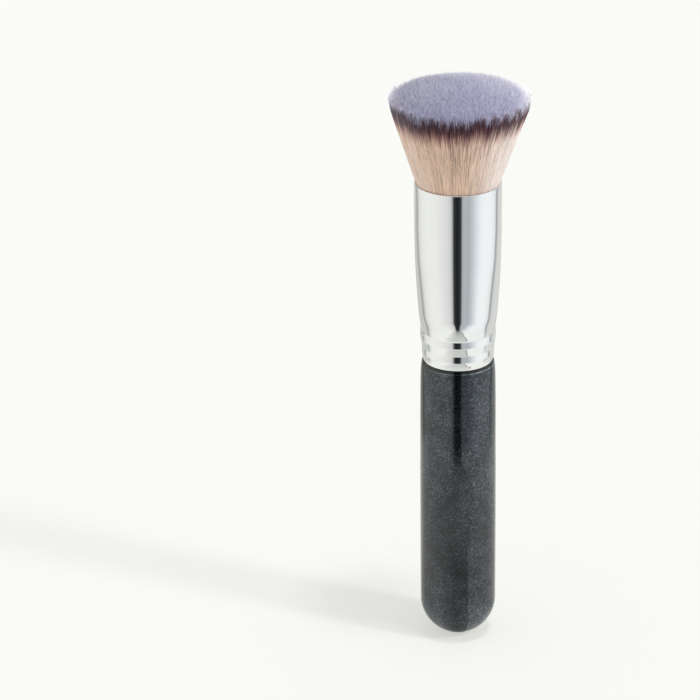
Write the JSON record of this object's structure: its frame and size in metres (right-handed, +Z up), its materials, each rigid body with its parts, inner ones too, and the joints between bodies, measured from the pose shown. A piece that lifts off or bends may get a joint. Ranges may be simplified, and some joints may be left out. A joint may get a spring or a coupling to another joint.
{
  "type": "kabuki makeup brush",
  "caption": "Flat-top kabuki makeup brush: dense flared tuft in a bright crimped ferrule on a straight, round-ended black handle.",
  "frame": {"origin": "centre of the flat foot at the handle's end, on the brush's axis", "axes": "+Z up along the brush's axis, from the foot to the tuft; the brush is round, so X and Y are alike"},
  "size_m": [0.0322, 0.0322, 0.1399],
  "materials": {
    "handle_wood": "turned birch, bare under the lacquer",
    "glitter_lacquer": "glossy black lacquer with fine silver, teal and violet flakes",
    "handle_glue": "set glue film",
    "ferrule_metal": "drawn tube, polished to a mirror",
    "fibres": "fine tapered synthetic fibres, beige with a dark plum band and grey-lilac tips",
    "thread": "waxed binding thread",
    "root_glue": "cast clear glue, yellowed"
  },
  "bodies": {
    "root": {"handle_core": "handle_wood", "lacquer_coat": "glitter_lacquer", "tenon_glue": "handle_glue", "ferrule": "ferrule_metal", "bristles": "fibres", "binding_thread": "thread", "root_plug": "root_glue"}
  },
  "joints": []
}
